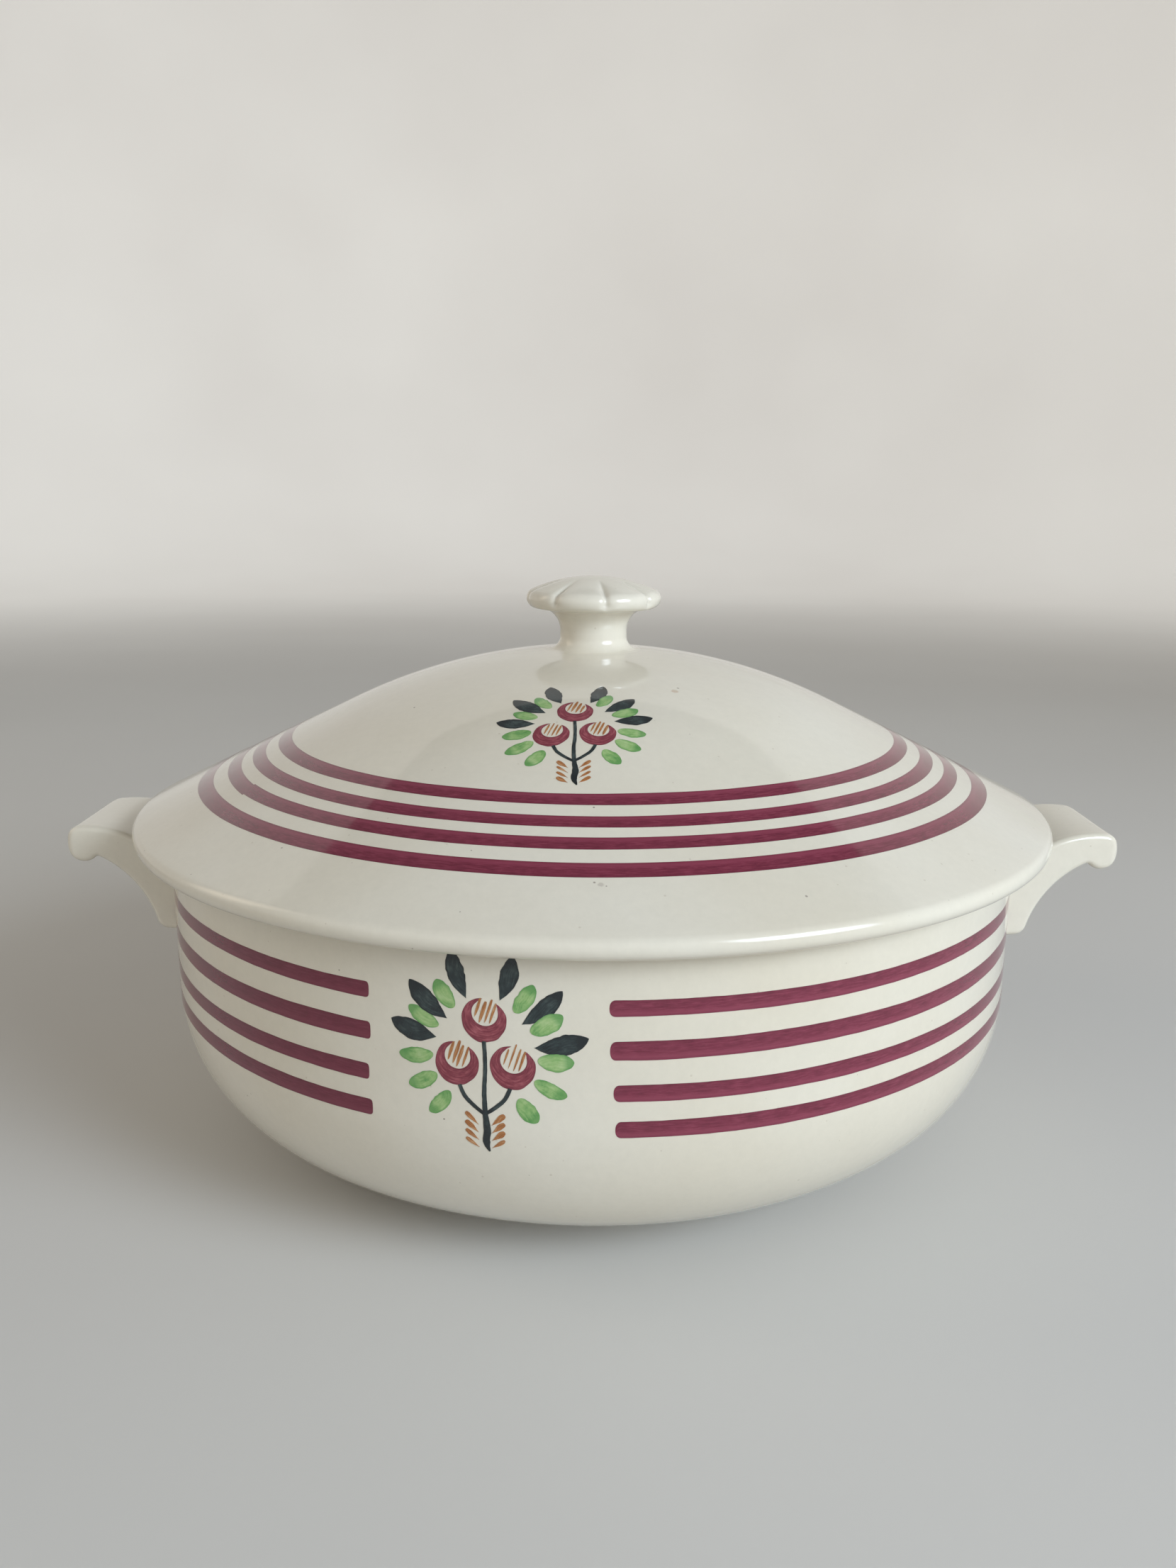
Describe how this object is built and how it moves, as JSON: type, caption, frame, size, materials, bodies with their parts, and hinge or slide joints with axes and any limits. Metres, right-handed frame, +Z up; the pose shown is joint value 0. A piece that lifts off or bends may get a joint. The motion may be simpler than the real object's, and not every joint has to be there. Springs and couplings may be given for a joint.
{
  "type": "soup tureen",
  "caption": "Round footed soup tureen: a wide straight-sided bowl with curled lug handles at its sides, and a loose domed lid lifted by a mushroom knob.",
  "frame": {"origin": "centre of the foot ring, on the table", "axes": "+Z up through the knob, +X through the right handle, +Y towards the back; the painted flowers face -Y"},
  "size_m": [0.304, 0.262, 0.1623],
  "materials": {
    "bowl_glaze": "glossy cream glaze over earthenware",
    "handle_glaze": "glossy cream glaze over earthenware",
    "lid_glaze": "glossy cream glaze over earthenware",
    "knob_glaze": "glossy cream glaze over earthenware",
    "burgundy_paint": "brushed pigment under glossy glaze",
    "dark_leaf_paint": "brushed pigment under glossy glaze",
    "green_leaf_paint": "thin brushed pigment under glossy glaze",
    "ochre_paint": "thin brushed pigment under glossy glaze"
  },
  "bodies": {
    "bowl": {"bowl": "bowl_glaze", "right_handle": "handle_glaze", "left_handle": "handle_glaze"},
    "lid": {"lid": "lid_glaze", "knob": "knob_glaze"}
  },
  "joints": [
    {"name": "lid_lift", "type": "slide", "parent": "bowl", "child": "lid", "axis": [0, 0, 1], "range_m": [0, 0.15]}
  ]
}
